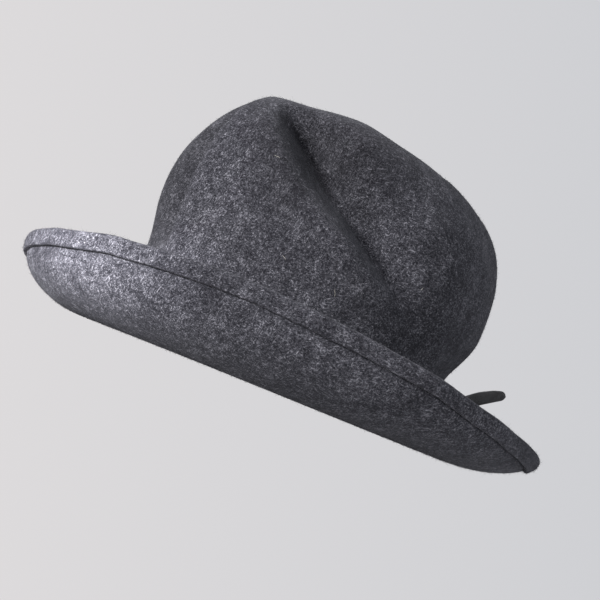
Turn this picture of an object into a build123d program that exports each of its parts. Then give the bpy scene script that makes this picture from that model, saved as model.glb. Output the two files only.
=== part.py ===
from build123d import *
import os
from math import sin, cos, tan, atan2, pi, hypot, radians, degrees, exp, sqrt

# Wool felt hat with a tall pinched crown and a brim turned up all round.
# Millimetres.  +Z up, front of the hat toward -Y, wearer's left toward +X.
# Azimuth is measured from the front (-Y) toward the wearer's left (+X).

# ---------------------------------------------------------------- dimensions
opening_half_length = 93.5      # inside of the sweatband, front to back
opening_half_width = 78.0       # inside of the sweatband, side to side
layer_gap = 0.1                 # air between neighbouring layers
sweat_thick = 0.8
sweat_bottom = 4.3
sweat_top = 32.1
collar_thick = 2.0              # brim felt standing up inside the crown
collar_top = 17.1
collar_bend = 2.6               # radius of the bend from collar to brim
crown_felt = 2.2
crown_bottom = 6.3
straight_top = 20.1             # the wall is upright up to here
crown_top = 142.6               # level of the crest before the top is tilted
crown_tilt = 5.0                # degrees, the top falls toward the back
dent_depth = 13.0               # hollow in the top
power_front = 4.9               # squareness of the shoulder, front
power_back = 4.3                # squareness of the shoulder, back
flare_front = 0.020             # outward lean of the wall, share of radius
flare_back = 0.065
brim_half_length = 155.5        # plan size of the edge, front to back
brim_half_width = 142.5         # plan size of the edge, side to side
brim_base = 2.58                 # underside of the brim at the head opening
brim_felt = 2.2
edge_mean = 29.3                # height of the edge above the lowest plane
edge_cos1 = 7.0
edge_sin1 = 4.0
edge_cos2 = 2.3
edge_sin2 = 6.0
roll_power = 2.35               # roundness of the roll of the brim
roll_power_front = 0.5
dip_front = 3.2                 # the brim sinks below the opening in front
dip_back = 1.0
welt_width = 7.6                # hem folded over to the outside
welt_felt = 1.8
wire_radius = 0.7               # brim wire lying in the fold of the hem
wire_clear = 0.2
sleeve_radius = 1.1             # sleeve over the two ends of the wire
thread_radius = 0.28
welt_stitches = 96
stitch_length = 7.0
stitch_inset = 1.7              # stitching this far from the raw edge of the hem
band_bottom = 7.5               # black band round the foot of the crown
band_width = 10.5
band_thick = 0.7
knot_depth = 3.6
knot_length = 12.0
tail_thick = 0.9
join_width = 8.0
join_thick = 0.3
tag_width = 12.0
tag_height = 16.0


def smooth(value):
    u = min(max(value, 0.0), 1.0)
    return u * u * (3.0 - 2.0 * u)


def ellipse_radius(azimuth, half_width, half_length):
    return 1.0 / hypot(sin(azimuth) / half_width, cos(azimuth) / half_length)


collar_inner = sweat_thick + layer_gap
collar_outer = collar_inner + collar_thick
crown_inner = collar_outer + layer_gap
crown_outer = crown_inner + crown_felt


# ------------------------------------------------------------- crown outline
def crown_point(azimuth, share, inset):
    front = 0.5 + 0.5 * cos(azimuth)
    turn = atan2(sin(azimuth), cos(azimuth))
    away = abs(degrees(turn))
    zeta = sin(share * 0.97 * pi / 2) ** 0.5
    power = power_back + (power_front - power_back) * front
    rho = (1.0 - zeta ** power) ** (1.0 / power)
    flare = flare_front + (flare_back - flare_front) * (1.0 - front)
    grow = 1.0 + flare * smooth((zeta - 0.12) / 0.6)
    rise = crown_top - inset - crown_bottom
    level = crown_bottom + rise * zeta
    level = level - dent_depth * smooth((share - 0.82) / 0.18)
    across = (opening_half_width + crown_outer - inset) * rho * grow
    along = (opening_half_length + crown_outer - inset) * rho * grow
    x = across * sin(azimuth)
    y = -along * cos(azimuth)
    radius = max(hypot(x, y), 0.001)
    # soft vertical fold down the centre of the front
    fold = 4.0 * exp(-(sqrt(away ** 2 + 9.0) - 3.0) / 11.0)
    fold = fold * smooth((level - 21) / 50) * smooth((166 - level) / 80)
    flat = 4.0 * exp(-(((away - 30) / 13) ** 2)) * smooth((level - 25) / 60)
    rim = smooth((rho - 0.45) / 0.3)
    # pinch running down and back from the front of the top
    offset = level - (144.6 - 0.95 * away)
    spread = 11.0 if offset < 0 else 26.0
    depth = 15.0 * smooth((away - 4) / 26) * smooth((88 - away) / 42)
    pinch = depth * exp(-((offset / spread) ** 2)) * smooth((rho - 0.55) / 0.25)
    scale = (radius + (fold - flat) * rim - pinch) / radius
    x = x * scale
    y = y * scale
    z = level - tan(radians(crown_tilt)) * y * smooth(zeta / 0.9)
    return (x, y, z)


def even_shares(inset, wanted):
    # shares of the outline that are evenly spaced along its length
    fine = [step / 400 for step in range(401)]
    path = [crown_point(0.6 * pi, share, inset) for share in fine]
    run = [0.0]
    for one, two in zip(path[:-1], path[1:]):
        run.append(run[-1] + (Vector(*two) - Vector(*one)).length)
    shares = []
    for step in range(1, wanted + 1):
        goal = run[-1] * step / wanted
        index = min(k for k in range(401) if run[k] >= goal - 1e-9)
        shares.append(fine[index])
    return shares


def even_spline(points, periodic=False):
    # every curve of a family gets the same parameters, so that surfaces stay light
    steps = len(points) if periodic else len(points) - 1
    parameters = [step / steps for step in range(steps + 1)]
    vectors = [Vector(*p) for p in points]
    return Edge.make_spline(vectors, periodic=periodic, parameters=parameters)


def ring_face(points):
    with BuildLine() as line:
        add(even_spline(points, periodic=True))
    return Face(Wire(line.edges()))


def crown_body(inset, start_level):
    count = 48
    turns = [2 * pi * k / count for k in range(count)]
    foot = [crown_point(turn, 0.0, inset) for turn in turns]
    low = [(p[0], p[1], start_level) for p in foot]
    high = [(p[0], p[1], straight_top) for p in foot]
    rings = [[(p[0], p[1], p[2] + lift) for p in high] for lift in (0.0, 2.0, 4.0)]
    for share in even_shares(inset, 24):
        ring = [crown_point(turn, share, inset) for turn in turns]
        if min(p[2] for p in ring) > straight_top + 7.0:
            rings.append(ring)
    base = ring_face(low)
    sections = [ring_face(ring) for ring in rings]
    with BuildPart() as body:
        extrude(base, amount=straight_top - start_level, dir=(0, 0, 1))
        loft(sections)
    return body


crown_outside = crown_body(0.0, crown_bottom)
crown_hollow = crown_body(crown_felt, crown_bottom - 6.0)
with BuildPart() as crown:
    add(crown_outside.part)
    add(crown_hollow.part, mode=Mode.SUBTRACT)
crown.part.label = "crown"


# --------------------------------------------------------------- brim outline
def edge_height(azimuth):
    first = edge_cos1 * cos(azimuth) + edge_sin1 * sin(azimuth)
    second = edge_cos2 * cos(2 * azimuth) + edge_sin2 * sin(2 * azimuth)
    return edge_mean + first + second


def under_point(azimuth, share):
    # radius and height of the underside of the brim, 0 at the opening, 1 at the edge
    half_width = opening_half_width + collar_inner + collar_bend
    half_length = opening_half_length + collar_inner + collar_bend
    inner = ellipse_radius(azimuth, half_width, half_length)
    outer = ellipse_radius(azimuth, brim_half_width, brim_half_length)
    power = roll_power + roll_power_front * cos(azimuth)
    angle = share * pi / 2 * 0.9999
    out = sin(angle) ** (2 / power)
    up = 1.0 - cos(angle) ** (2 / power)
    front = 0.5 + 0.5 * cos(azimuth)
    dip = dip_front * front ** 1.5 + dip_back * (1.0 - front)
    dip = dip * sin(pi * out ** 0.8)
    height = brim_base + (edge_height(azimuth) - brim_base) * up - dip
    return (inner + (outer - inner) * out, height)


def under_normal(azimuth, share):
    low = under_point(azimuth, max(share - 0.004, 0.0))
    high = under_point(azimuth, min(share + 0.004, 1.0))
    length = hypot(high[0] - low[0], high[1] - low[1])
    return (-(high[1] - low[1]) / length, (high[0] - low[0]) / length)


def lifted(azimuth, share, amount):
    point = under_point(azimuth, share)
    normal = under_normal(azimuth, share)
    return (point[0] + normal[0] * amount, point[1] + normal[1] * amount)


def share_from_edge(azimuth, distance):
    # share of the outline lying a given length of felt below the edge
    fine = [step / 300 for step in range(301)]
    path = [under_point(azimuth, share) for share in fine]
    walked = 0.0
    index = 300
    while walked < distance:
        one = path[index]
        two = path[index - 1]
        walked = walked + hypot(one[0] - two[0], one[1] - two[1])
        index = index - 1
    return fine[index]


def at(azimuth, radius_height):
    radius = radius_height[0]
    return Vector(radius * sin(azimuth), -radius * cos(azimuth), radius_height[1])


def brim_profile(azimuth):
    raw = share_from_edge(azimuth, welt_width)
    floor_inner = ellipse_radius(
        azimuth, opening_half_width + collar_inner, opening_half_length + collar_inner
    )
    floor_outer = ellipse_radius(
        azimuth, opening_half_width + collar_outer, opening_half_length + collar_outer
    )
    spans = 9
    under = [raw * (k / spans) ** 1.4 for k in range(spans + 1)]
    under = [at(azimuth, under_point(azimuth, share)) for share in under]
    hem = [lifted(azimuth, raw + (1 - raw) * k / 5, -welt_felt) for k in range(6)]
    hem = [at(azimuth, point) for point in hem]
    above = [0.008 + 0.992 * (1 - k / 10) ** 1.4 for k in range(11)]
    above = [lifted(azimuth, share, brim_felt) for share in above]
    above = [at(azimuth, point) for point in above]
    edge = under_point(azimuth, 1.0)
    normal = under_normal(azimuth, 1.0)
    middle = (brim_felt - welt_felt) / 2
    swell = (brim_felt + welt_felt) / 2
    fold = (
        edge[0] + normal[0] * middle + normal[1] * swell,
        edge[1] + normal[1] * middle - normal[0] * swell,
    )
    root = (floor_outer, brim_base + brim_felt + 0.4)
    bend = (
        floor_inner + collar_bend * 0.293,
        brim_base + collar_bend * 0.293,
    )
    with BuildLine() as line:
        add(even_spline(under))
        Line(under[-1], hem[0])
        add(even_spline(hem))
        ThreePointArc(hem[-1], at(azimuth, fold), above[0])
        add(even_spline(above + [at(azimuth, root)]))
        Line(at(azimuth, root), at(azimuth, (floor_outer, collar_top)))
        Line(at(azimuth, (floor_outer, collar_top)), at(azimuth, (floor_inner, collar_top)))
        Line(
            at(azimuth, (floor_inner, collar_top)),
            at(azimuth, (floor_inner, brim_base + collar_bend)),
        )
        ThreePointArc(
            at(azimuth, (floor_inner, brim_base + collar_bend)),
            at(azimuth, bend),
            under[0],
        )
    return Face(Wire(line.edges()))


def wire_path(azimuth):
    share = share_from_edge(azimuth, 1.6)
    return at(azimuth, lifted(azimuth, share, (brim_felt - welt_felt) / 2))


def edge_cord(radius, start, finish):
    # round length following the fold of the hem, azimuths in degrees
    count = max(4, round((finish - start) / 7.5))
    turns = [radians(start + (finish - start) * k / count) for k in range(count + 1)]
    with BuildPart() as cord:
        with BuildLine() as line:
            add(even_spline([wire_path(turn) for turn in turns]))
        with BuildSketch(Plane(origin=line.line @ 0, z_dir=line.line % 0)):
            Circle(radius)
        sweep()
    return cord


half_steps = 12
half_turns = [[pi * (side + k / half_steps) for k in range(half_steps + 1)] for side in range(2)]
brim_sections = [[brim_profile(turn) for turn in turns] for turns in half_turns]
wire_channel = [
    edge_cord(wire_radius + wire_clear, 180.0 * side, 180.0 * side + 180.0) for side in range(2)
]
sleeve_pocket = edge_cord(sleeve_radius + wire_clear, 180 - 4.2, 180 + 4.2)
with BuildPart() as brim:
    for sections in brim_sections:
        loft(sections)
    for cord in wire_channel:
        add(cord.part, mode=Mode.SUBTRACT)
    add(sleeve_pocket.part, mode=Mode.SUBTRACT)
brim.part.label = "brim"

# spring wire in the hem, its two ends meet at the back inside a sleeve
brim_wire = edge_cord(wire_radius, 180.6, 539.4)
brim_wire.part.label = "brim_wire"

sleeve_body = edge_cord(sleeve_radius, 180 - 3.6, 180 + 3.6)
sleeve_bore = edge_cord(wire_radius + 0.1, 180 - 5.0, 180 + 5.0)
with BuildPart() as wire_sleeve:
    add(sleeve_body.part)
    add(sleeve_bore.part, mode=Mode.SUBTRACT)
wire_sleeve.part.label = "wire_sleeve"


# ------------------------------------------------------------------ stitching
def stitch_places(curve, count):
    # one plane per stitch, its z axis along the curve
    places = []
    for k in range(count):
        turn = 2 * pi * (k + 0.5) / count
        before = curve(turn - 0.01)
        after = curve(turn + 0.01)
        places.append(Plane(origin=curve(turn), z_dir=after - before))
    return places


def hem_outside(turn):
    share = share_from_edge(turn, welt_width - stitch_inset)
    return at(turn, lifted(turn, share, -(welt_felt + thread_radius + 0.08)))


def hem_inside(turn):
    share = share_from_edge(turn, welt_width - stitch_inset)
    return at(turn, lifted(turn, share, brim_felt + thread_radius + 0.08))


def ellipse_place(turn, offset, height):
    half_width = opening_half_width + offset
    half_length = opening_half_length + offset
    return Vector(half_width * sin(turn), -half_length * cos(turn), height)


with BuildPart() as welt_stitching:
    with Locations(*stitch_places(hem_outside, welt_stitches)):
        Cylinder(thread_radius, stitch_length)
    with Locations(*stitch_places(hem_inside, welt_stitches)):
        Cylinder(thread_radius, stitch_length)
welt_stitching.part.label = "welt_stitching"

with BuildPart() as crown_seam_stitching:
    seam_offset = crown_inner - thread_radius - 0.15
    seam_height = collar_top + thread_radius + 0.05
    seam = lambda turn: ellipse_place(turn, seam_offset, seam_height)
    with Locations(*stitch_places(seam, 72)):
        Cylinder(thread_radius, 5.0)
crown_seam_stitching.part.label = "crown_seam_stitching"


# ------------------------------------------------------- bands and sweatband
def elliptic_ring(offset, thickness, bottom, height):
    with BuildPart() as ring:
        with BuildSketch(Plane.XY.offset(bottom)):
            outer = offset + thickness
            Ellipse(opening_half_width + outer, opening_half_length + outer)
            Ellipse(
                opening_half_width + offset,
                opening_half_length + offset,
                mode=Mode.SUBTRACT,
            )
        extrude(amount=height)
    return ring


band_inner = crown_outer + 0.15
hat_band = elliptic_ring(band_inner, band_thick, band_bottom, band_width)
hat_band.part.label = "hat_band"

band_face = opening_half_width + band_inner + band_thick
with BuildPart() as bow_knot:
    with Locations((band_face + 0.08 + knot_depth / 2, 4.0, band_bottom + band_width / 2)):
        Box(knot_depth, knot_length, band_width + 3.0)
    fillet(bow_knot.edges().filter_by(Axis.Y), 1.1)
bow_knot.part.label = "bow_knot"


def tail(stations):
    # flat strip; each station is x, y, z, width and the slope in degrees
    with BuildPart() as strip:
        for x, y, z, width, slope in stations:
            run = Vector(0.12, cos(radians(slope)), sin(radians(slope)))
            with BuildSketch(Plane(origin=(x, y, z), x_dir=(1, -0.12, 0), z_dir=run)):
                Rectangle(tail_thick, width)
        loft()
    return strip


tail_start_x = band_face + 0.08 + knot_depth / 2
tail_start_y = 4.0 + knot_length / 2 + 1.4
bow_tail_upper = tail(
    [
        (tail_start_x, tail_start_y, 15.7, 5.0, 22),
        (91.8, 20.0, 20.9, 6.2, 36),
        (97.0, 31.0, 30.1, 6.6, 38),
        (100.0, 42.0, 38.1, 6.6, 30),
        (101.2, 51.0, 42.3, 5.0, 22),
        (101.6, 59.0, 45.1, 2.4, 18),
    ]
)
bow_tail_upper.part.label = "bow_tail_upper"

bow_tail_lower = tail(
    [
        (tail_start_x, tail_start_y, 9.0, 2.6, 0),
        (88.6, 20.0, 10.5, 5.6, 6),
        (89.4, 31.0, 13.3, 6.2, 12),
        (88.6, 42.0, 17.1, 5.0, 16),
        (86.8, 50.0, 19.5, 2.4, 16),
    ]
)
bow_tail_lower.part.label = "bow_tail_lower"

with BuildPart() as band_tack_stitches:
    tack_offset = band_inner + band_thick + thread_radius + 0.05
    tacks = []
    for turn in (0.25 * pi, 0.75 * pi, 1.25 * pi, 1.75 * pi):
        for lift in (0.22, 0.78):
            height = band_bottom + band_width * lift
            spot = ellipse_place(turn, tack_offset, height)
            tacks.append(Plane(origin=spot, z_dir=(0, 0, 1)))
    with Locations(*tacks):
        Cylinder(thread_radius, 2.6)
band_tack_stitches.part.label = "band_tack_stitches"

sweatband = elliptic_ring(0.0, sweat_thick, sweat_bottom, sweat_top - sweat_bottom)
sweatband.part.label = "sweatband"

with BuildPart() as sweatband_stitching:
    run_offset = -thread_radius - 0.05
    run_height = sweat_bottom + 2.0
    row = lambda turn: ellipse_place(turn, run_offset, run_height)
    with Locations(*stitch_places(row, 96)):
        Cylinder(thread_radius, 3.6)
sweatband_stitching.part.label = "sweatband_stitching"

# strip covering the join of the sweatband, centre back, above the stitching
with BuildPart() as sweatband_join:
    strip_y = opening_half_length - 0.16 - join_thick / 2
    with Locations((0, strip_y, (sweat_bottom + 4.0 + sweat_top) / 2)):
        Box(join_width, join_thick, sweat_top - sweat_bottom - 4.0)
sweatband_join.part.label = "sweatband_join"

# blank satin tag sewn to the sweatband beside the join
with BuildPart() as size_tag:
    tag_turn = radians(163)
    tag_spot = ellipse_place(tag_turn, -0.6, 21.1)
    out = Vector(
        sin(tag_turn) / (opening_half_width),
        -cos(tag_turn) / (opening_half_length),
        0,
    )
    with Locations(Plane(origin=tag_spot, x_dir=(0, 0, 1), z_dir=out)):
        Box(tag_height, tag_width, 0.25)
size_tag.part.label = "size_tag"

# --------------------------------------------------------------------- export
os.makedirs("parts", exist_ok=True)
export_step(crown.part, "parts/crown.step")
export_step(brim.part, "parts/brim.step")
export_step(brim_wire.part, "parts/brim_wire.step")
export_step(wire_sleeve.part, "parts/wire_sleeve.step")
export_step(welt_stitching.part, "parts/welt_stitching.step")
export_step(crown_seam_stitching.part, "parts/crown_seam_stitching.step")
export_step(hat_band.part, "parts/hat_band.step")
export_step(bow_knot.part, "parts/bow_knot.step")
export_step(bow_tail_upper.part, "parts/bow_tail_upper.step")
export_step(bow_tail_lower.part, "parts/bow_tail_lower.step")
export_step(band_tack_stitches.part, "parts/band_tack_stitches.step")
export_step(sweatband.part, "parts/sweatband.step")
export_step(sweatband_stitching.part, "parts/sweatband_stitching.step")
export_step(sweatband_join.part, "parts/sweatband_join.step")
export_step(size_tag.part, "parts/size_tag.step")
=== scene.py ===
import bpy
import math
import numpy as np
from mathutils import Matrix, Vector, noise


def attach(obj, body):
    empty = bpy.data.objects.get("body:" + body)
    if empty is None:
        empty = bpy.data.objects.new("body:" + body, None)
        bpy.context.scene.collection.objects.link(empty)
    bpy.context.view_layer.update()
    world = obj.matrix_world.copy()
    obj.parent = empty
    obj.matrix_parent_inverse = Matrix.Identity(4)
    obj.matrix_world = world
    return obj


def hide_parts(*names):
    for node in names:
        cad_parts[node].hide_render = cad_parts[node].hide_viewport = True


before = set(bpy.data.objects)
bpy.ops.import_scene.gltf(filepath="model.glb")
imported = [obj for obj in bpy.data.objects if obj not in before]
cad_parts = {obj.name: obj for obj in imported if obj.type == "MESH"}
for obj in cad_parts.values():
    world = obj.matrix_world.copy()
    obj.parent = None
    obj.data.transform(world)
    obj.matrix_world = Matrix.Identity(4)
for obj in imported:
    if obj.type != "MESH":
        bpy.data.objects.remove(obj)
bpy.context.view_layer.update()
MM = 0.001
TAU = 2 * math.pi

# ---------------------------------------------------------------- camera
# Long lens off the front left quarter, just under the level of the table, so that the floor
# isn't in this view; rolled with the tilt of the hat.
CAM_AZIMUTH, CAM_ELEVATION, CAM_ROLL = 45.0, -2.8, 22.3
CAM_AIM = Vector((-0.0035, -0.0019, 0.0523))
CAM_RANGE = 1.300
LENS, SENSOR = 146.64, 36.0


def direction(azimuth, elevation):
    # azimuth runs from the front toward the wearer's left
    az, el = math.radians(azimuth), math.radians(elevation)
    return Vector((math.sin(az) * math.cos(el), -math.cos(az) * math.cos(el), math.sin(el)))


back = direction(CAM_AZIMUTH, CAM_ELEVATION)
cam_az, cam_roll = math.radians(CAM_AZIMUTH), math.radians(CAM_ROLL)
right = Vector((math.cos(cam_az), math.sin(cam_az), 0.0))
upward = back.cross(right)
cam_right = right * math.cos(cam_roll) + upward * math.sin(cam_roll)
cam_up = upward * math.cos(cam_roll) - right * math.sin(cam_roll)
cam_data = bpy.data.cameras.new("camera")
cam_data.sensor_width = SENSOR
cam_data.lens = LENS
cam_data.clip_start = 0.05
cam_data.clip_end = 60.0
cam = bpy.data.objects.new("camera", cam_data)
bpy.context.scene.collection.objects.link(cam)
facing = Matrix((cam_right, cam_up, back)).transposed().to_4x4()
cam.matrix_world = Matrix.Translation(CAM_AIM + back * CAM_RANGE) @ facing
bpy.context.scene.camera = cam


# ------------------------------------------------------------ mesh helpers
def smooth(value):
    u = np.clip(value, 0.0, 1.0)
    return u * u * (3.0 - 2.0 * u)


def new_object(name, verts, faces, material, shade=True, uv=None):
    mesh = bpy.data.meshes.new(name)
    verts = np.asarray(verts, float)
    mesh.from_pydata(verts.tolist(), [], faces)
    mesh.validate()
    mesh.update()
    if uv is not None:
        layer = mesh.uv_layers.new(name="uv")
        index = np.zeros(len(mesh.loops), np.int32)
        mesh.loops.foreach_get("vertex_index", index)
        layer.data.foreach_set("uv", np.asarray(uv, np.float32)[index].ravel())
    if shade:
        mesh.polygons.foreach_set("use_smooth", [True] * len(mesh.polygons))
    mesh.materials.append(material)
    obj = bpy.data.objects.new(name, mesh)
    bpy.context.scene.collection.objects.link(obj)
    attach(obj, "root")
    return obj


def grid_faces(rows, cols, wrap_rows=False, wrap_cols=True, offset=0):
    faces = []
    for i in range(rows if wrap_rows else rows - 1):
        for j in range(cols if wrap_cols else cols - 1):
            a = i * cols + j
            b = i * cols + (j + 1) % cols
            c = ((i + 1) % rows) * cols + (j + 1) % cols
            d = ((i + 1) % rows) * cols + j
            faces.append((a + offset, b + offset, c + offset, d + offset))
    return faces


def wobble(points, scale, amount, seed):
    # gentle unevenness, the same each run
    out = np.empty(len(points))
    shift = Vector((seed * 3.17, seed * 1.31, seed * 7.77))
    for i, p in enumerate(points):
        out[i] = noise.noise(Vector(p) * scale + shift)
    return out * amount


# ------------------------------------------------------------- materials
class Nodes:
    def __init__(self, name):
        self.mat = bpy.data.materials.new(name)
        self.mat.use_nodes = True
        self.tree = self.mat.node_tree
        self.bsdf = self.tree.nodes["Principled BSDF"]
        self.coord = self.tree.nodes.new("ShaderNodeTexCoord")

    def link(self, a, b):
        self.tree.links.new(a, b)

    def mapping(self, source="Object", scale=(1, 1, 1)):
        node = self.tree.nodes.new("ShaderNodeMapping")
        node.inputs["Scale"].default_value = scale
        self.link(self.coord.outputs[source], node.inputs["Vector"])
        return node.outputs["Vector"]

    def lay(self, angles, width, length):
        # noise space drawn out along one direction, so that it reads as fibres
        node = self.tree.nodes.new("ShaderNodeMapping")
        node.vector_type = "TEXTURE"
        node.inputs["Rotation"].default_value = angles
        node.inputs["Scale"].default_value = (width, width, length)
        self.link(self.coord.outputs["Object"], node.inputs["Vector"])
        return node.outputs["Vector"]

    def noise(self, vector, scale, detail=2.0, rough=0.5, distort=0.0):
        node = self.tree.nodes.new("ShaderNodeTexNoise")
        node.inputs["Scale"].default_value = scale
        node.inputs["Detail"].default_value = detail
        node.inputs["Roughness"].default_value = rough
        node.inputs["Distortion"].default_value = distort
        self.link(vector, node.inputs["Vector"])
        return node.outputs["Fac"]

    def wave(self, vector, scale, direction="X", distort=0.0):
        node = self.tree.nodes.new("ShaderNodeTexWave")
        node.bands_direction = direction
        node.inputs["Scale"].default_value = scale
        node.inputs["Distortion"].default_value = distort
        self.link(vector, node.inputs["Vector"])
        return node.outputs["Fac"]

    def math(self, kind, a, b=None):
        node = self.tree.nodes.new("ShaderNodeMath")
        node.operation = kind
        for slot, value in enumerate((a, b)):
            if value is None:
                continue
            if isinstance(value, (int, float)):
                node.inputs[slot].default_value = value
            else:
                self.link(value, node.inputs[slot])
        return node.outputs[0]

    def span(self, value, low, high, to_low=0.0, to_high=1.0):
        node = self.tree.nodes.new("ShaderNodeMapRange")
        node.inputs["From Min"].default_value = low
        node.inputs["From Max"].default_value = high
        node.inputs["To Min"].default_value = to_low
        node.inputs["To Max"].default_value = to_high
        self.link(value, node.inputs["Value"])
        return node.outputs["Result"]

    def ramp(self, value, stops):
        node = self.tree.nodes.new("ShaderNodeValToRGB")
        while len(node.color_ramp.elements) < len(stops):
            node.color_ramp.elements.new(0.5)
        for element, (position, color) in zip(node.color_ramp.elements, stops):
            element.position = position
            element.color = (*color, 1.0)
        self.link(value, node.inputs["Fac"])
        return node.outputs["Color"]

    def distance(self, centre, stretch):
        away = self.tree.nodes.new("ShaderNodeVectorMath")
        away.operation = "DISTANCE"
        self.link(self.mapping(scale=stretch), away.inputs[0])
        away.inputs[1].default_value = tuple(c * k for c, k in zip(centre, stretch))
        return away.outputs["Value"]

    def scale(self, color, factor):
        node = self.tree.nodes.new("ShaderNodeVectorMath")
        node.operation = "SCALE"
        self.link(color, node.inputs[0])
        self.link(factor, node.inputs["Scale"])
        return node.outputs["Vector"]

    def bump(self, height, strength, distance, chain=None):
        node = self.tree.nodes.new("ShaderNodeBump")
        node.inputs["Strength"].default_value = strength
        node.inputs["Distance"].default_value = distance
        self.link(height, node.inputs["Height"])
        if chain is not None:
            self.link(chain, node.inputs["Normal"])
        return node.outputs["Normal"]

    def blend(self, parts):
        # weighted sum of several noises
        total = None
        for value, weight in parts:
            part = self.math("MULTIPLY", value, weight)
            total = part if total is None else self.math("ADD", total, part)
        return total

    def finish(
        self, color, normal=None, rough=0.9, sheen=0.0, sheen_rough=0.5, tint=(1, 1, 1), specular=0.3
    ):
        if isinstance(color, tuple):
            self.bsdf.inputs["Base Color"].default_value = (*color, 1.0)
        else:
            self.link(color, self.bsdf.inputs["Base Color"])
        if isinstance(rough, float):
            self.bsdf.inputs["Roughness"].default_value = rough
        else:
            self.link(rough, self.bsdf.inputs["Roughness"])
        self.bsdf.inputs["Specular IOR Level"].default_value = specular
        self.bsdf.inputs["Sheen Weight"].default_value = sheen
        self.bsdf.inputs["Sheen Roughness"].default_value = sheen_rough
        self.bsdf.inputs["Sheen Tint"].default_value = (*tint, 1.0)
        if normal is not None:
            self.link(normal, self.bsdf.inputs["Normal"])
        return self.mat


FIBRE_WIDTH, FIBRE_LENGTH = 0.00055, 0.0038
# painted light and shade on the felt: a painted pool of light on the front of the brim, painted shade in
# both pinches
# centre, stretch, radius of the full tone, radius where it ends, factor on the felt's colour
PAINTED_LIGHT_SPOTS = (
    ((-0.030, -0.152, 0.030), (1.0, 1.0, 2.4), 0.015, 0.105, 3.2),  # front of the brim
    ((0.038, -0.066, 0.121), (1.0, 1.0, 1.0), 0.012, 0.050, 0.48),  # left pinch
    ((-0.066, -0.044, 0.090), (1.0, 1.0, 0.7), 0.020, 0.060, 0.62),  # right pinch
)


def felt_material():
    n = Nodes("wool_felt")
    plain = n.mapping()
    speck = n.noise(plain, 980, 2.0, 0.62, 0.9)
    grain = n.noise(plain, 430, 3.0, 0.60, 0.6)
    mottle = n.noise(plain, 130, 3.0, 0.55, 0.4)
    broad = n.noise(plain, 22, 2.0, 0.5, 0.2)
    # short stray fibres, four lays crossing each other
    lays = []
    for angles in ((0.4, 0.2, 0.9), (1.3, 0.8, -0.5), (-0.7, 1.1, 0.3), (0.9, -0.9, 1.6)):
        lay = n.lay(angles, FIBRE_WIDTH, FIBRE_LENGTH)
        lays.append(n.noise(lay, 1.0, 2.0, 0.55, 0.5))
    fibre = lays[0]
    for lay in lays[1:]:
        fibre = n.math("MAXIMUM", fibre, lay)
    tone = n.blend(((fibre, 0.52), (speck, 0.20), (grain, 0.12), (mottle, 0.10), (broad, 0.06)))
    color = n.ramp(
        tone,
        (
            (0.475, (0.004, 0.004, 0.006)),
            (0.535, (0.017, 0.017, 0.021)),
            (0.585, (0.048, 0.048, 0.057)),
            (0.650, (0.175, 0.174, 0.195)),
        ),
    )
    # Three places are painted paler or darker than the rest: a painted pool of light on the front of the
    # brim and painted shade in the two pinches. Their tones are set from one view and stand in for light
    # and shade, so they are not in the real felt.
    # paint the pool of light and the shade in the pinches into the felt's colour
    for centre, stretch, near, far, factor in PAINTED_LIGHT_SPOTS:
        spot = n.distance(centre, stretch)
        color = n.scale(color, n.span(spot, near, far, factor, 1.0))
    height = n.blend(((fibre, 1.0), (grain, 0.5), (speck, 0.3)))
    normal = n.bump(mottle, 0.30, 0.0010)
    normal = n.bump(height, 0.60, 0.0008, normal)
    return n.finish(color, normal, 0.95, 0.06, 0.55, (0.80, 0.82, 0.92), 0.12)


def fuzz_material():
    n = Nodes("felt_fuzz")
    shade = n.noise(n.mapping(), 620, 1.0, 0.5, 0.0)
    color = n.ramp(
        shade,
        ((0.36, (0.008, 0.008, 0.010)), (0.50, (0.035, 0.035, 0.042)), (0.66, (0.15, 0.15, 0.168))),
    )
    return n.finish(color, None, 0.9, 0.05, 0.5, (0.8, 0.82, 0.9), 0.15)


def ribbon_material(name, dark, light, ribs):
    n = Nodes(name)
    plain = n.mapping("UV")
    rib = n.wave(plain, ribs, "X", 0.6)
    cross = n.wave(plain, ribs * 1.7, "Y", 0.3)
    fleck = n.noise(n.mapping(), 900, 2.0, 0.6, 0.2)
    tone = n.blend(((rib, 0.55), (fleck, 0.55)))
    color = n.ramp(tone, ((0.25, dark), (0.95, light)))
    weave = n.math("ADD", rib, n.math("MULTIPLY", cross, 0.3))
    normal = n.bump(weave, 0.5, 0.00025)
    normal = n.bump(fleck, 0.2, 0.0003, normal)
    rough = n.span(fleck, 0.3, 0.7, 0.62, 0.82)
    return n.finish(color, normal, rough, 0.25, 0.4, (0.8, 0.8, 0.85), 0.25)


def thread_material():
    n = Nodes("thread")
    plain = n.mapping()
    twist = n.wave(plain, 900, "DIAGONAL", 0.4)
    fleck = n.noise(plain, 1500, 1.0, 0.5, 0.0)
    color = n.ramp(fleck, ((0.3, (0.010, 0.010, 0.012)), (0.7, (0.040, 0.040, 0.046))))
    return n.finish(color, n.bump(twist, 0.4, 0.0002), 0.8, 0.2, 0.5, (0.8, 0.8, 0.85), 0.3)


def metal_material():
    n = Nodes("spring_steel")
    fleck = n.noise(n.mapping(), 700, 3.0, 0.6, 0.0)
    color = n.ramp(fleck, ((0.3, (0.30, 0.30, 0.31)), (0.7, (0.52, 0.52, 0.53))))
    n.bsdf.inputs["Metallic"].default_value = 1.0
    return n.finish(color, n.bump(fleck, 0.1, 0.0001), n.span(fleck, 0.3, 0.7, 0.28, 0.45))


def tag_material():
    n = Nodes("tag_satin")
    plain = n.mapping()
    weave = n.wave(plain, 900, "Z", 0.5)
    fleck = n.noise(plain, 500, 2.0, 0.5, 0.0)
    color = n.ramp(fleck, ((0.3, (0.50, 0.49, 0.46)), (0.7, (0.64, 0.63, 0.60))))
    return n.finish(color, n.bump(weave, 0.3, 0.0001), 0.42, 0.1, 0.4, (1, 1, 1), 0.4)


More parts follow.
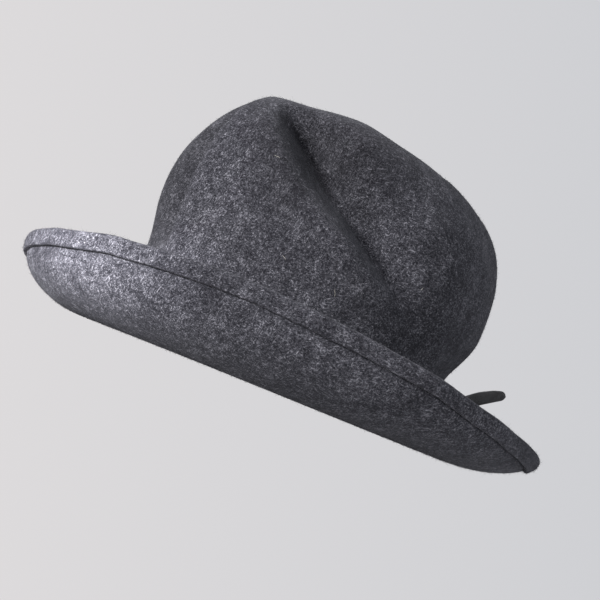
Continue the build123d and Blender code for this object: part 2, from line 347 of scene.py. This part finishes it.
def lint_material():
    n = Nodes("lint")
    shade = n.noise(n.mapping(), 900, 1.0, 0.5, 0.0)
    color = n.ramp(shade, ((0.35, (0.22, 0.21, 0.19)), (0.65, (0.42, 0.41, 0.38))))
    return n.finish(color, None, 0.9, 0.1, 0.5, (1, 1, 1), 0.2)


felt = felt_material()
pale_lint = lint_material()
fuzz_felt = fuzz_material()
ribbon = ribbon_material("band_ribbon", (0.0035, 0.0035, 0.004), (0.018, 0.018, 0.020), 260)
sweat = ribbon_material("sweatband_ribbon", (0.010, 0.010, 0.012), (0.040, 0.040, 0.046), 300)
thread = thread_material()
metal = metal_material()
satin = tag_material()

# ------------------------------------------------- shared shape of the hat
# The same outline as the CAD, in millimetres, with finer detail on top.
OPEN_X, OPEN_Y = 78.0, 93.5
SWEAT, COLLAR, FELT = 0.8, 2.0, 2.2
COLLAR_IN = SWEAT + 0.1
COLLAR_OUT = COLLAR_IN + COLLAR
CROWN_IN = COLLAR_OUT + 0.1
CROWN_OUT = CROWN_IN + FELT
FOOT, CREST = 6.3, 142.6
TOP_SLOPE = 5.0  # degrees, the top of the crown falls toward the back
TOP_HOLLOW = 13.0
RIDGE, RIDGE_SPREAD_LEFT, RIDGE_SPREAD_RIGHT = 5.4, 8.5, 18.0
BRIM_BASE, BRIM_X, BRIM_Y = 2.58, 142.5, 155.5
HEM_FELT = 1.8
CORNER = 2.6  # the bend between collar and brim
KNOT = (85.93, 4.0, 12.75)


def window(value, centre, width):
    return np.exp(-(((value - centre) / width) ** 2))


def oval(azimuth, offset, height):
    # a point on the head opening's oval, moved outward
    x = (OPEN_X + offset) * math.sin(azimuth)
    return x, -(OPEN_Y + offset) * math.cos(azimuth), height


def crown_points(azimuth, share, inset):
    # the blocked crown before its front is pinched; azimuth 0 is the front, turn > 0 the left
    turn = np.degrees(np.arctan2(np.sin(azimuth), np.cos(azimuth)))
    away = np.abs(turn)
    front = 0.5 + 0.5 * np.cos(azimuth)
    zeta = np.sqrt(np.sin(share * 0.97 * math.pi / 2))
    power = 4.3 + 0.6 * front
    rho = np.maximum(1.0 - zeta ** power, 1e-9) ** (1.0 / power)
    grow = 1.0 + (0.020 + 0.045 * (1.0 - front)) * smooth((zeta - 0.12) / 0.6)
    level = FOOT + (CREST - inset - FOOT) * zeta
    level = level - TOP_HOLLOW * smooth((share - 0.82) / 0.18)
    x = (OPEN_X + CROWN_OUT - inset) * rho * grow * np.sin(azimuth)
    y = -(OPEN_Y + CROWN_OUT - inset) * rho * grow * np.cos(azimuth)
    radius = np.maximum(np.hypot(x, y), 0.001)
    spread = np.where(turn < 0, RIDGE_SPREAD_RIGHT, RIDGE_SPREAD_LEFT)
    fold = RIDGE * np.exp(-(np.sqrt(away ** 2 + 3.0) - 1.7) / spread)
    fold = fold * smooth((level - 21) / 50) * smooth((160 - level) / 60)
    flat = 4.2 * window(away, 29, 13) * smooth((level - 25) / 60)
    rim = smooth((rho - 0.45) / 0.3)
    # the two sides are unlike: the right one bulges, and the left back is drawn in low down
    lean = 8.0 * window(turn, -68, 26) * window(level, 90, 38)
    lean = lean - 8.5 * window(turn, 134, 44) * window(level, 42, 18) * smooth((level - 19) / 12)
    lean = lean - 1.5 * window(turn, 146, 50) * window(level, 122, 16)
    scale = (radius + (fold - flat) * rim + lean * smooth((rho - 0.3) / 0.4)) / radius
    x, y = x * scale, y * scale
    z = level - math.tan(math.radians(TOP_SLOPE)) * y * smooth(zeta / 0.9)
    z = z - 2.2 * window(away, 0, 34) * smooth((level - 116) / 22)
    # the rim of the top rises and falls a little from the front right to the back left
    across = (x + y) * math.sqrt(0.5)
    bow = 1.8 * window(across, -14, 20) - 1.4 * window(across, 34, 14)
    bow = bow - 2.2 * window(across, 62, 15)
    z = z + bow * smooth((level - 100) / 22)
    return np.stack([x, y, z], -1), turn, level


def pinch_depth(turn, level):
    # thumb and finger hollows either side of the front ridge
    away = np.abs(turn)
    offset = level - (144.6 - 0.95 * away - 5.5 * window(away, 35, 15))
    crest = smooth((140.0 - level) / 18.0)
    # left: a long hollow with a crisp lower lip, running down from the ridge
    reach = smooth((away - 1) / 17) * smooth((92 - away) / 34)
    wide = np.exp(-((offset / np.where(offset < 0, 8.0, 44.0)) ** 2))
    crease = np.exp(-((offset / np.where(offset < 0, 6.0, 17.0)) ** 2))
    inward = (7.5 * wide + (12.0 + 4.5 * window(away, 36, 22)) * crease) * reach * crest
    lip = 4.6 * reach * window(offset, -17, 9) * smooth((76 - away) / 30)
    left = inward - lip
    # right: one deep hollow that falls away from a broad front ridge
    reach = smooth((away - 3) / 10) * smooth((60 - away) / 26)
    right = 17.5 * reach * smooth((level - 24) / 50) * crest
    return np.where(turn > 0, left, right)


def edge_height(a):
    # how high the brim's edge stands at each azimuth
    return 29.3 + 7.0 * np.cos(a) + 4.0 * np.sin(a) + 2.3 * np.cos(2 * a) + 6.0 * np.sin(2 * a)


def ellipse_radius(a, x, y):
    return 1.0 / np.hypot(np.sin(a) / x, np.cos(a) / y)


def under_line(a, share):
    inner = ellipse_radius(a, OPEN_X + COLLAR_IN + CORNER, OPEN_Y + COLLAR_IN + CORNER)
    outer = ellipse_radius(a, BRIM_X, BRIM_Y)
    power = 2.35 + 0.5 * math.cos(a)
    angle = share * math.pi / 2 * 0.9999
    out = np.sin(angle) ** (2 / power)
    up = 1.0 - np.cos(angle) ** (2 / power)
    front = 0.5 + 0.5 * math.cos(a)
    dip = (3.2 * front ** 1.5 + 1.0 * (1 - front)) * np.sin(math.pi * out ** 0.8)
    height = BRIM_BASE + (edge_height(a) - BRIM_BASE) * up - dip
    return inner + (outer - inner) * out, height


class BrimSection:
    """The brim cut at one azimuth: its underside by length of felt, and its normal."""

    def __init__(self, a):
        share = np.linspace(0.0, 1.0, 400)
        r, z = under_line(a, share)
        run = np.concatenate([[0.0], np.cumsum(np.hypot(np.diff(r), np.diff(z)))])
        self.run, self.r, self.z, self.length = run, r, z, run[-1]

    def at(self, distance, lift):
        # distance is measured from the edge back toward the crown
        s = self.length - np.asarray(distance, float)
        r = np.interp(s, self.run, self.r)
        z = np.interp(s, self.run, self.z)
        h = 0.8
        r0, z0 = np.interp(s - h, self.run, self.r), np.interp(s - h, self.run, self.z)
        r1, z1 = np.interp(s + h, self.run, self.r), np.interp(s + h, self.run, self.z)
        n = np.hypot(r1 - r0, z1 - z0)
        return r - (z1 - z0) / n * lift, z + (r1 - r0) / n * lift


# ------------------------------------------------------------------ crown
def grid_normals(grid):
    along = np.roll(grid, -1, axis=1) - np.roll(grid, 1, axis=1)
    up = np.gradient(grid, axis=0)
    normal = np.cross(along, up)
    size = np.maximum(np.linalg.norm(normal, axis=2), 1e-9)
    return normal / size[:, :, None]


CROWN_COLS, CROWN_RINGS, TOP_RINGS = 420, 128, 12


def make_crown():
    cols = CROWN_COLS
    turns = np.linspace(0, TAU, cols, endpoint=False)
    # rings evenly spaced along the felt, measured up one side
    fine = np.linspace(0, 1, 600)
    guide = crown_points(np.full(len(fine), 0.6 * math.pi), fine, 0.0)[0]
    run = np.concatenate([[0], np.cumsum(np.linalg.norm(np.diff(guide, axis=0), axis=1))])
    shares = np.interp(np.linspace(0, run[-1], CROWN_RINGS), run, fine)
    shells, depths = [], []
    for inset in (0.0, FELT):
        rows, pushes = [], []
        for share in shares:
            ring, turn, level = crown_points(turns, np.full(cols, share), inset)
            rows.append(ring)
            pushes.append(pinch_depth(turn, level))
        # the top closes in rings that shrink to its middle
        last = rows[-1]
        middle = last.mean(0)
        for k in range(1, TOP_RINGS):
            t = 1 - k / TOP_RINGS
            ring = middle + (last - middle) * t
            ring[:, 2] -= 1.3 * (1 - t * t)
            rows.append(ring)
            pushes.append(pushes[len(shares) - 1] * t)
        shells.append(np.array(rows))
        depths.append(np.array(pushes))
    outer, inner = shells
    depth = depths[0][:, :, None]
    normal = grid_normals(outer)
    # the pinch goes inward, partly along the felt's own face and partly level
    inward = normal.copy()
    level_way = outer * np.array([1.0, 1.0, 0.0])
    level_way /= np.maximum(np.linalg.norm(level_way, axis=2), 1e-6)[:, :, None]
    inward = 0.55 * inward + 0.45 * level_way
    move = -inward * depth
    for _ in range(2):
        move[1:-1] = 0.25 * move[:-2] + 0.5 * move[1:-1] + 0.25 * move[2:]
        move = 0.25 * np.roll(move, 1, 1) + 0.5 * move + 0.25 * np.roll(move, -1, 1)
    # hand-blocked unevenness, shared by both faces of the felt
    flat = outer.reshape(-1, 3)
    push = wobble(flat, 0.020, 1.8, 1) + wobble(flat, 0.055, 0.8, 2)
    push = push * smooth((flat[:, 2] - 22) / 30)
    move = move + normal * push.reshape(outer.shape[:2])[:, :, None]
    outer = outer + move
    inner = inner + move
    rounded = []
    for t in (0.25, 0.5, 0.75):
        ring = outer[0] * (1 - t) + inner[0] * t
        ring[:, 2] -= 0.5 * math.sin(math.pi * t)
        rounded.append(ring)
    stack = list(inner[::-1]) + rounded[::-1] + list(outer)
    rows = len(stack)
    verts = np.concatenate(stack)
    faces = grid_faces(rows, cols)
    centre_in = inner[-1].mean(0) - np.array([0, 0, 0.03])
    centre_out = outer[-1].mean(0) - np.array([0, 0, 0.03])
    verts = np.concatenate([verts, [centre_in], [centre_out]])
    a, b = len(verts) - 2, len(verts) - 1
    last = (rows - 1) * cols
    for j in range(cols):
        k = (j + 1) % cols
        faces.append((a, k, j))
        faces.append((b, last + j, last + k))
    obj = new_object("crown_felt", verts * MM, faces, felt)
    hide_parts("crown")
    return outer


# ------------------------------------------------------------------- brim
def hem_width(a):
    return 7.5 + 0.22 * math.sin(3 * a + 0.6) + 0.14 * math.sin(7 * a + 2.0) + 0.08 * math.sin(17 * a)


def brim_shift(points):
    # the free edge waves a little, the head opening doesn't
    points = points.copy()
    base = points * np.array([1.0, 1.0, 0.0])
    ring = np.hypot(base[:, 0] / 83.0, base[:, 1] / 99.0)
    free = smooth((ring - 1.15) / 0.4)
    out = base / np.linalg.norm(base, axis=1)[:, None]
    turn = np.degrees(np.arctan2(base[:, 0], -base[:, 1]))
    points[:, 2] += (wobble(base, 0.022, 1.1, 5) + wobble(base, 0.06, 0.45, 6)) * free
    radial = wobble(base, 0.03, 0.8, 7) - 4.4 * window(turn, -52, 34) - 3.4 * window(turn, 138, 30)
    points += out * (radial * free)[:, None]
    points[:, 2] = np.maximum(points[:, 2], 0.0)
    return points


def brim_loop(a):
    cut = BrimSection(a)
    ci = ellipse_radius(a, OPEN_X + COLLAR_IN, OPEN_Y + COLLAR_IN)
    co = ellipse_radius(a, OPEN_X + COLLAR_OUT, OPEN_Y + COLLAR_OUT)
    hem = hem_width(a)
    pts = []
    # collar, then the bend at its foot
    for z in (17.1, 15.0, 12.0, 9.0, 7.0):
        pts.append((ci, z))
    for k in range(6):
        t = k / 6 * math.pi / 2
        pts.append((ci + CORNER * (1 - math.cos(t)), BRIM_BASE + CORNER * (1 - math.sin(t))))
    # underside up to the raw edge of the hem, pulled in a little by the thread
    far = np.linspace(cut.length, hem + 5.0, 34)
    near = np.linspace(hem + 4.5, hem + 0.25, 12)
    for d in np.concatenate([far, near]):
        gap = d - hem
        pull = 1.25 * math.exp(-((gap / 1.3) ** 2))
        r, z = cut.at(d, pull)
        pts.append((float(r), float(z)))
    # raw edge of the folded felt, soft and slightly undercut
    thick = HEM_FELT + 0.25 + 0.1 * math.sin(5 * a + 1.0)
    for k in range(7):
        t = k / 6 * math.pi
        lift = 1.05 - (thick + 1.05) * (1 - math.cos(t)) / 2
        d = hem + 0.10 + 0.80 * math.sin(t)
        r, z = cut.at(d, lift)
        pts.append((float(r), float(z)))
    for d in np.linspace(hem - 0.5, 1.6, 16):
        u = (hem - d) / hem
        lift = -(thick + 0.30 * math.sin(math.pi * u) - 0.24 * math.exp(-(((d - hem + 2.1) / 0.7) ** 2)))
        r, z = cut.at(d, lift)
        pts.append((float(r), float(z)))
    # rolled fold at the edge
    mid = (FELT - thick) / 2
    half = (FELT + thick) / 2
    for k in range(11):
        t = k / 10 * math.pi
        lift = mid - half * math.cos(t)
        d = 1.2 - (half * 0.9) * math.sin(t)
        r, z = cut.at(max(d, 0.0), lift)
        if d < 0:
            r1, z1 = cut.at(0.0, lift)
            r0, z0 = cut.at(1.0, lift)
            m = math.hypot(r1 - r0, z1 - z0)
            r, z = r1 + (r1 - r0) / m * -d, z1 + (z1 - z0) / m * -d
        pts.append((float(r), float(z)))
    # upper side back to the crown
    near = np.linspace(1.8, hem + 3, 20)
    far = np.linspace(hem + 4.5, cut.length - 0.4, 34)
    for d in np.concatenate([near, far]):
        lift = FELT - 0.30 * math.exp(-(((d - hem + 2.1) / 0.7) ** 2))
        r, z = cut.at(d, lift)
        pts.append((float(r), float(z)))
    for z in (6.5, 8.0, 11.0, 14.0, 17.1):
        pts.append((co, z))
    pts.append(((ci + co) / 2, 17.4))
    return pts


BRIM_COLS = 620


def make_brim():
    cols = BRIM_COLS
    turns = np.linspace(0, TAU, cols, endpoint=False)
    loops = np.array([brim_loop(float(a)) for a in turns])
    rows = loops.shape[1]
    r = loops[:, :, 0].T
    z = loops[:, :, 1].T
    x = r * np.sin(turns)[None, :]
    y = -r * np.cos(turns)[None, :]
    stack = np.stack([x, y, z], -1)
    flat = brim_shift(stack.reshape(-1, 3))
    faces = grid_faces(rows, cols, wrap_rows=True)
    obj = new_object("brim_felt", flat * MM, faces, felt)
    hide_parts("brim")
    return flat.reshape(rows, cols, 3)


crown_outer = make_crown()
brim_grid = make_brim()


# ------------------------------------------------------------ small pieces
def strand(points, radius, sides=6):
    # a thin round strand along a list of points, closed at both ends
    points = np.asarray(points, float)
    count = len(points)
    tangent = np.gradient(points, axis=0)
    tangent /= np.linalg.norm(tangent, axis=1)[:, None]
    helper = np.array([0.0, 0.0, 1.0]) if abs(tangent[0][2]) < 0.9 else np.array([1.0, 0.0, 0.0])
    verts = []
    for i in range(count):
        a = np.cross(tangent[i], helper)
        a /= np.linalg.norm(a)
        b = np.cross(a, tangent[i])
        size = radius * (1.0 if 0 < i < count - 1 else 0.55)
        for k in range(sides):
            t = TAU * k / sides
            verts.append(points[i] + a * math.cos(t) * size + b * math.sin(t) * size)
    faces = grid_faces(count, sides)
    faces.append(tuple(range(sides))[::-1])
    faces.append(tuple((count - 1) * sides + k for k in range(sides)))
    return verts, faces


def gather(name, bits, material):
    # many strands as one mesh
    verts, faces = [], []
    for bit_verts, bit_faces in bits:
        base = len(verts)
        verts.extend(bit_verts)
        faces.extend([tuple(i + base for i in f) for f in bit_faces])
    return new_object(name, np.array(verts) * MM, faces, material)


def brim_point(a, distance, lift):
    cut = BrimSection(a)
    r, z = cut.at(distance, lift)
    p = np.array([[float(r) * math.sin(a), -float(r) * math.cos(a), float(z)]])
    return brim_shift(p)[0]


STITCHES = 210


def hem_stitching():
    # one row each side of the hem, sunk in the groove the thread pulls
    bits = []
    for side in range(2):
        for k in range(STITCHES):
            a = TAU * (k + 0.5) / STITCHES
            half = (0.46 if side == 0 else 0.38) * TAU / STITCHES
            path = []
            for t in (-1.0, -0.5, 0.0, 0.5, 1.0):
                turn = a + half * t
                d = hem_width(turn) - 2.1
                sink = 0.10 - 0.42 * t * t
                if side == 0:
                    # caught under the raw edge, where it shows as a thin dark line
                    d = hem_width(turn) + 0.85
                    lift = 0.30 - sink
                else:
                    lift = FELT - 0.26 + sink
                path.append(brim_point(turn, d, lift))
            bits.append(strand(path, 0.24))
    obj = gather("hem_stitches", bits, thread)
    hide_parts("welt_stitching")


def hat_band():
    cols, profile = 480, []
    bottom, top, inner, thick = 7.5, 18.0, CROWN_OUT + 0.12, 0.75
    profile.append((inner, bottom))
    for k in range(9):
        t = k / 8
        edge = 0.14 * (math.exp(-((t / 0.06) ** 2)) + math.exp(-(((1 - t) / 0.06) ** 2)))
        profile.append((inner + thick + edge, bottom + (top - bottom) * t))
    profile.append((inner, top))
    for k in range(1, 5):
        profile.append((inner - 0.02, top + (bottom - top) * k / 5))
    verts, uv = [], []
    for offset, z in profile:
        for j in range(cols):
            a = TAU * j / cols
            pleat = 0.10 * math.sin(9 * a + 1.0) + 0.06 * math.sin(23 * a)
            o = offset + (pleat if offset > inner + 0.3 else 0.0)
            verts.append(oval(a, o, z + 0.12 * math.sin(4 * a)))
            uv.append((j / cols, z / 20.0))
    faces = grid_faces(len(profile), cols, wrap_rows=True)
    obj = new_object("ribbon_band", np.array(verts) * MM, faces, ribbon, uv=uv)
    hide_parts("hat_band")


TAIL_THICK = 0.62


def tail_strip(name, node, stations, curl):
    # thin ribbon end: cupped across, rippled, the free end softly rounded
    st = np.array(stations, float)
    run = np.linspace(0, 1, len(st))
    fine = np.linspace(0, 1, 46)
    path = np.stack([np.interp(fine, run, st[:, i]) for i in range(5)], -1)
    for _ in range(6):
        path[1:-1] = 0.25 * path[:-2] + 0.5 * path[1:-1] + 0.25 * path[2:]
    across = 11
    tangent = np.gradient(path[:, :3], axis=0)
    tangent /= np.linalg.norm(tangent, axis=1)[:, None]
    sheets = []
    for side in (0.5, -0.5):
        sheet = []
        for i, t in enumerate(fine):
            out = np.array([1.0, -0.15, 0.0])
            out -= tangent[i] * out.dot(tangent[i])
            out /= np.linalg.norm(out)
            up = np.cross(out, tangent[i])
            up *= 1.0 if up[2] > 0 else -1.0
            end = 1.0 if t < 0.93 else math.sqrt(max(0.0, 1 - ((t - 0.93) / 0.072) ** 2))
            width = path[i][3] * max(end, 0.35)
            row = []
            for k in range(across):
                u = 2 * k / (across - 1) - 1
                cup = curl * (1 - u * u) * math.sin(math.pi * min(t * 1.1, 1.0))
                ripple = 0.25 * math.sin(9 * t + 2 * u) * t
                row.append(
                    path[i][:3] + up * (u * width / 2) + out * (cup + ripple + side * TAIL_THICK)
                )
            sheet.append(row)
        sheets.append(sheet)
    verts, faces, uv = [], [], []
    rows = len(fine)
    for sheet in sheets:
        for i, row in enumerate(sheet):
            for k, p in enumerate(row):
                verts.append(p)
                uv.append((k / 26.0, i / 26.0))
    count = rows * across

    def at(s, i, k):
        return s * count + i * across + k

    for i in range(rows - 1):
        for k in range(across - 1):
            faces.append((at(0, i, k), at(0, i + 1, k), at(0, i + 1, k + 1), at(0, i, k + 1)))
            faces.append((at(1, i, k), at(1, i, k + 1), at(1, i + 1, k + 1), at(1, i + 1, k)))
        faces.append((at(0, i, 0), at(1, i, 0), at(1, i + 1, 0), at(0, i + 1, 0)))
        last = across - 1
        faces.append((at(0, i, last), at(0, i + 1, last), at(1, i + 1, last), at(1, i, last)))
    for k in range(across - 1):
        faces.append((at(0, 0, k), at(0, 0, k + 1), at(1, 0, k + 1), at(1, 0, k)))
        end = rows - 1
        faces.append((at(0, end, k), at(1, end, k), at(1, end, k + 1), at(0, end, k + 1)))
    obj = new_object(name, np.array(verts) * MM, faces, ribbon, uv=uv)
    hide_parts(node)


def closed_fold(name, verts, uv, rows, cols):
    # rings of one fold of the band, closed at both ends
    faces = grid_faces(rows, cols)
    faces.append(tuple(range(cols))[::-1])
    faces.append(tuple((rows - 1) * cols + k for k in range(cols)))
    obj = new_object(name, np.array(verts) * MM, faces, ribbon, uv=uv)
    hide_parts("bow_knot")


def knot():
    # folded loop of the band with a strap across its middle
    verts, faces, uv = [], [], []
    rows, cols = 40, 30
    cx, cy, cz = KNOT
    for i in range(rows):
        t = i / (rows - 1)
        y = cy - 6.1 + 12.2 * t
        waist = 1.0 - 0.20 * math.exp(-(((t - 0.5) / 0.16) ** 2))
        close = math.sqrt(max(0.0, 1 - abs(2 * t - 1) ** 5))
        for j in range(cols):
            a = TAU * j / cols
            ca, sa = math.cos(a), math.sin(a)
            px = math.copysign(abs(ca) ** 0.55, ca) * 1.75 * max(close, 0.35)
            pz = math.copysign(abs(sa) ** 0.55, sa) * 6.6 * waist * max(close, 0.75)
            crease = 0.25 * math.sin(pz * 1.7 + 3 * t) * max(0.0, ca)
            verts.append((cx + px + crease, y, cz + pz))
            uv.append((t * 0.6, j / cols * 1.4))
    closed_fold("knot_fold", verts, uv, rows, cols)
    verts, uv = [], []
    rows, cols = 9, 40
    for i in range(rows):
        t = i / (rows - 1)
        y = cy - 2.0 + 4.0 * t
        puff = 0.30 + 0.30 * math.sqrt(max(0.0, 1 - (2 * t - 1) ** 2))
        for j in range(cols):
            a = TAU * j / cols
            ca, sa = math.cos(a), math.sin(a)
            px = math.copysign(abs(ca) ** 0.45, ca) * (1.50 + (puff if ca > 0 else 0.0))
            pz = math.copysign(abs(sa) ** 0.45, sa) * (5.6 + puff)
            verts.append((cx + px, y, cz + pz))
            uv.append((t * 0.3, j / cols * 1.4))
    closed_fold("knot_strap", verts, uv, rows, cols)


def sweatband():
    cols, rows = 420, 26
    bottom, top = 4.3, 32.1
    verts, uv = [], []
    for side in range(2):
        for i in range(rows):
            t = i / (rows - 1) if side == 0 else 1 - i / (rows - 1)
            z = bottom + (top - bottom) * t
            for j in range(cols):
                a = TAU * j / cols
                ripple = 0.30 * math.sin(11 * a + 0.7) * t * t + 0.18 * math.sin(19 * a + 2.0 * t) * t
                bead = 0.18 * math.exp(-(((t - 0.97) / 0.02) ** 2))
                o = (0.08 - ripple - bead - 0.5 * t) if side == 0 else (0.72 - ripple - 0.5 * t + bead)
                verts.append(oval(a, o, z + 0.25 * math.sin(5 * a) * t))
                uv.append((j / cols, z / 20.0))
    faces = grid_faces(2 * rows, cols, wrap_rows=True)
    obj = new_object("sweatband_cloth", np.array(verts) * MM, faces, sweat, uv=uv)
    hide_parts("sweatband")


def hem_wire():
    for name, node, radius, start, finish in (
        ("hem_wire", "brim_wire", 0.7, 180.6, 539.4),
        ("hem_wire_sleeve", "wire_sleeve", 1.1, 176.4, 183.6),
    ):
        steps = 12 if node == "wire_sleeve" else 360
        turns = np.radians(np.linspace(start, finish, steps))
        path = [brim_point(float(a), 1.6, 0.2) for a in turns]
        obj = gather(name, [strand(path, radius, 8)], metal)
        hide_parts(node)


hem_wire()
hem_stitching()
hat_band()
# x, y, z, width and lean of the ribbon at each station, from the knot to the free end
upper = [
    (85.93, 11.4, 15.7, 5.0, 22), (91.8, 20, 20.9, 6.4, 36), (97, 31, 30.1, 7.0, 38),
    (100, 42, 38.1, 7.2, 30), (101.2, 51, 42.3, 6.4, 22), (101.6, 59, 45.1, 4.4, 18),
]
lower = [
    (85.93, 11.4, 9.0, 2.6, 0), (88.6, 20, 10.5, 5.6, 6), (89.4, 31, 13.3, 6.2, 12),
    (88.6, 42, 17.1, 5.4, 16), (86.8, 50, 19.5, 3.6, 16),
]
tail_strip("tail_upper", "bow_tail_upper", upper, 0.8)
tail_strip("tail_lower", "bow_tail_lower", lower, 0.6)
knot()
sweatband()


# ---------------------------------------------------------------- felt nap
def nap(name, grid, count, seed, low, high, node):
    # short loose fibres standing off the felt; each is a thin three-sided sliver
    rng = np.random.default_rng(seed)
    rows, cols = grid.shape[:2]
    i = rng.integers(low, high, count)
    j = rng.integers(0, cols, count)
    u, v = rng.random(count), rng.random(count)
    a, b = grid[i, j], grid[i, (j + 1) % cols]
    c, d = grid[(i + 1) % rows, j], grid[(i + 1) % rows, (j + 1) % cols]
    base = (a * (1 - u)[:, None] + b * u[:, None]) * (1 - v)[:, None]
    base += (c * (1 - u)[:, None] + d * u[:, None]) * v[:, None]
    normal = np.cross(b - a, c - a)
    size = np.linalg.norm(normal, axis=1)
    keep = size > 1e-6
    base, normal, size = base[keep], normal[keep], size[keep]
    area = size / size.max()
    chosen = rng.random(len(base)) < np.clip(area * 3.0, 0.05, 1.0)
    base, normal = base[chosen], normal[chosen] / size[chosen][:, None]
    n = len(base)
    side = rng.normal(size=(n, 3))
    side -= normal * (side * normal).sum(1)[:, None]
    side /= np.linalg.norm(side, axis=1)[:, None]
    other = np.cross(normal, side)
    length = rng.gamma(3.0, 0.34, n) + 0.35
    lean = rng.random(n) ** 1.6 * 0.75 + 0.10
    thick = rng.uniform(0.035, 0.070, n)
    tip = base + side * (length * 0.9)[:, None] + normal * (length * lean)[:, None]
    tip[:, 2] = np.maximum(tip[:, 2], 0.05)
    verts = np.empty((n, 4, 3))
    for k in range(3):
        t = TAU * k / 3
        ring = (other * math.cos(t) + normal * math.sin(t)) * thick[:, None]
        verts[:, k] = base - normal * 0.05 + ring
    verts[:, 3] = tip
    faces = []
    for k in range(0, 4 * n, 4):
        faces.extend(((k + 2, k + 1, k), (k, k + 1, k + 3), (k + 1, k + 2, k + 3), (k + 2, k, k + 3)))
    obj = new_object(name, verts.reshape(-1, 3) * MM, faces, fuzz_felt, shade=False)
    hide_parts(node)


nap("crown_nap", crown_outer, 46000, 11, 4, crown_outer.shape[0] - 2, "crown")
nap("brim_nap", brim_grid, 52000, 12, 11, brim_grid.shape[0] - 8, "brim")

# azimuth in degrees and height of each pale thread
LINT = ((38, 64), (60, 44), (57, 58), (84, 78), (22, 110), (205, 70), (300, 90), (150, 52))


def lint():
    # a few pale threads caught in the nap
    rng = np.random.default_rng(21)
    rows, cols = crown_outer.shape[:2]
    bits = []
    for turn, height in LINT:
        j = int(round(turn / 360 * cols))
        i = int(np.argmin(np.abs(crown_outer[: rows // 2 + 30, j, 2] - height)))
        here = crown_outer[i, j]
        across = crown_outer[i, (j + 2) % cols] - here
        across /= np.linalg.norm(across)
        up = crown_outer[i + 1, j] - here
        up /= np.linalg.norm(up)
        out = np.cross(across, up)
        way = rng.random() * math.pi
        length = rng.uniform(1.4, 3.6)
        path = []
        for t in np.linspace(-0.5, 0.5, 6):
            bend = 0.5 * math.sin(4 * t + way)
            spot = across * (t * length * math.cos(way) + bend * 0.3)
            spot = spot + up * (t * length * math.sin(way) + bend * 0.3)
            path.append(here + spot + out * (0.22 + 0.25 * (0.25 - t * t)))
        bits.append(strand(path, 0.075, 5))
    obj = gather("lint_threads", bits, pale_lint)
    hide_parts("crown")


lint()

# ----------------------------------------------- CAD pieces kept as they are
looks = {
    "crown_seam_stitching": thread,
    "band_tack_stitches": thread,
    "sweatband_stitching": thread,
    "sweatband_join": sweat,
    "size_tag": satin,
}
for node, material in looks.items():
    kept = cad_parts[node]
    kept.data.materials.clear()
    kept.data.materials.append(material)

# ------------------------------------------------------- floor and lights
def floor_material():
    # Pale paper. Seen from under the table, and for shadow rays and light bounced up at the
    # brim, it is clear.
    material = bpy.data.materials.new("floor")
    material.use_nodes = True
    nodes, links = material.node_tree.nodes, material.node_tree.links
    paper = nodes["Principled BSDF"]
    paper.inputs["Base Color"].default_value = (0.66, 0.66, 0.67, 1.0)
    paper.inputs["Roughness"].default_value = 0.9
    paper.inputs["Specular IOR Level"].default_value = 0.1
    clear = nodes.new("ShaderNodeBsdfTransparent")
    sides = nodes.new("ShaderNodeNewGeometry")
    rays = nodes.new("ShaderNodeLightPath")
    hidden = sides.outputs["Backfacing"]
    for kind in ("Is Shadow Ray", "Is Diffuse Ray"):
        either = nodes.new("ShaderNodeMath")
        either.operation = "MAXIMUM"
        links.new(hidden, either.inputs[0])
        links.new(rays.outputs[kind], either.inputs[1])
        hidden = either.outputs[0]
    blend = nodes.new("ShaderNodeMixShader")
    links.new(hidden, blend.inputs[0])
    links.new(paper.outputs["BSDF"], blend.inputs[1])
    links.new(clear.outputs["BSDF"], blend.inputs[2])
    links.new(blend.outputs[0], nodes["Material Output"].inputs["Surface"])
    return material


bpy.ops.mesh.primitive_plane_add(size=14.0, location=(0, 0, 0))
floor = bpy.context.object
floor.name = "floor"
floor.data.materials.append(floor_material())

def studio_world():
    # pale all round, a little warmer and lighter to one side
    world = bpy.data.worlds.new("studio")
    bpy.context.scene.world = world
    world.use_nodes = True
    nodes, links = world.node_tree.nodes, world.node_tree.links
    where = nodes.new("ShaderNodeTexCoord")
    across = nodes.new("ShaderNodeVectorMath")
    across.operation = "DOT_PRODUCT"
    across.inputs[1].default_value = tuple(cam_right)
    links.new(where.outputs["Generated"], across.inputs[0])
    shade = nodes.new("ShaderNodeMapRange")
    shade.inputs["From Min"].default_value = -WORLD_REACH
    shade.inputs["From Max"].default_value = WORLD_REACH
    links.new(across.outputs["Value"], shade.inputs["Value"])
    tone = nodes.new("ShaderNodeMix")
    tone.data_type = "RGBA"
    links.new(shade.outputs["Result"], tone.inputs["Factor"])
    ends = [s for s in tone.inputs if s.type == "RGBA"]
    ends[0].default_value = (0.735, 0.715, 0.722, 1.0)
    ends[1].default_value = (0.610, 0.618, 0.645, 1.0)
    mixed = [s for s in tone.outputs if s.type == "RGBA"][0]
    links.new(mixed, nodes["Background"].inputs["Color"])
    nodes["Background"].inputs["Strength"].default_value = 1.0


WORLD_REACH = 0.16
studio_world()


def area_light(name, azimuth, elevation, distance, size, power, color):
    data = bpy.data.lights.new(name, "AREA")
    data.shape = "RECTANGLE"
    data.size, data.size_y = size
    data.energy = power
    data.color = color
    lamp = bpy.data.objects.new(name, data)
    bpy.context.scene.collection.objects.link(lamp)
    way = direction(azimuth, elevation)
    lamp.location = Vector((0, 0, 0.07)) + way * distance
    lamp.rotation_euler = way.to_track_quat("Z", "Y").to_euler()


area_light("key", -2.0, 9.0, 1.9, (0.55, 0.45), 92.0, (1.0, 0.985, 0.985))
area_light("side", 112.0, 4.0, 2.0, (0.9, 0.7), 12.0, (0.97, 0.98, 1.0))

bpy.context.scene.view_settings.view_transform = "Standard"
